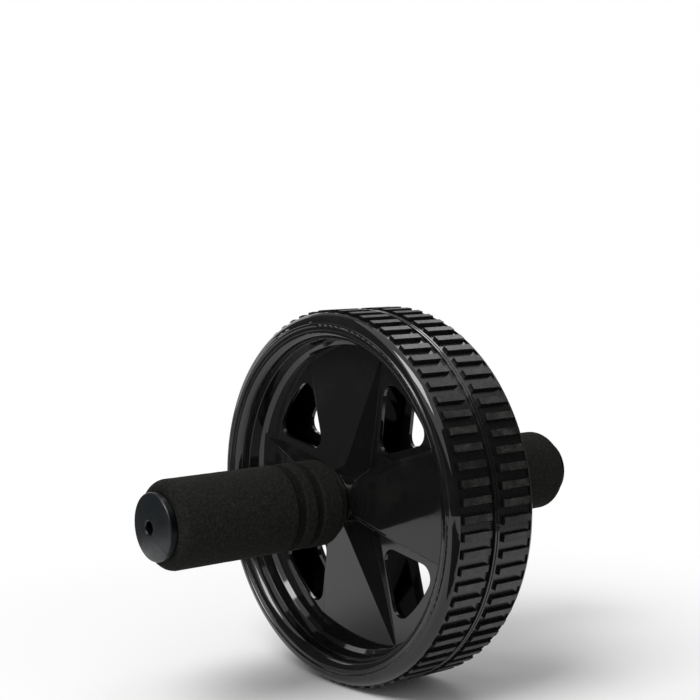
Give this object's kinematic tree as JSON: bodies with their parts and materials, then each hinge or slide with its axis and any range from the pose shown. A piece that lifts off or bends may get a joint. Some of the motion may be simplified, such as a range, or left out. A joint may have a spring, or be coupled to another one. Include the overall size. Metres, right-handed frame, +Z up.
{
  "type": "ab wheel roller",
  "caption": "Ab wheel roller: twin rubber-treaded spoked wheels turning side by side on a steel axle, with a grooved foam handle grip and a plug cap at each end.",
  "frame": {"origin": "middle of the axle, between the two wheels", "axes": "+Y along the axle, from the left grip to the right grip; +X the way the roller rolls; +Z up"},
  "size_m": [0.185, 0.2516, 0.185],
  "materials": {
    "wheel_plastic": "glossy injection-moulded black plastic",
    "tread_rubber": "matte dark grey rubber with a fine grain",
    "bush_plastic": "satin black acetal, turned and moulded",
    "zinc_steel": "bright zinc-plated steel",
    "rod_steel": "drawn steel rod",
    "core_plastic": "satin black moulded plastic",
    "grip_foam": "matte fine-celled closed foam rubber, charcoal",
    "cap_plastic": "satin blue-grey black plastic"
  },
  "bodies": {
    "axle_and_handles": {"axle_rod": "rod_steel", "middle_washer": "bush_plastic", "left_thrust_washer": "bush_plastic", "right_thrust_washer": "bush_plastic", "left_handle_core": "core_plastic", "right_handle_core": "core_plastic", "left_foam_grip": "grip_foam", "right_foam_grip": "grip_foam", "left_end_cap": "cap_plastic", "right_end_cap": "cap_plastic", "left_axle_screw": "zinc_steel", "right_axle_screw": "zinc_steel", "left_screw_washer": "zinc_steel", "right_screw_washer": "zinc_steel"},
    "left_wheel_set": {"left_wheel": "wheel_plastic", "left_tyre": "tread_rubber", "left_inner_bush": "bush_plastic", "left_outer_bush": "bush_plastic"},
    "right_wheel_set": {"right_wheel": "wheel_plastic", "right_tyre": "tread_rubber", "right_inner_bush": "bush_plastic", "right_outer_bush": "bush_plastic"}
  },
  "joints": [
    {"name": "left_wheel_spin", "type": "hinge", "parent": "axle_and_handles", "child": "left_wheel_set", "pos_m": [0, 0, 0], "axis": [0, 1, 0], "continuous": true},
    {"name": "right_wheel_spin", "type": "hinge", "parent": "axle_and_handles", "child": "right_wheel_set", "pos_m": [0, 0, 0], "axis": [0, 1, 0], "continuous": true}
  ]
}
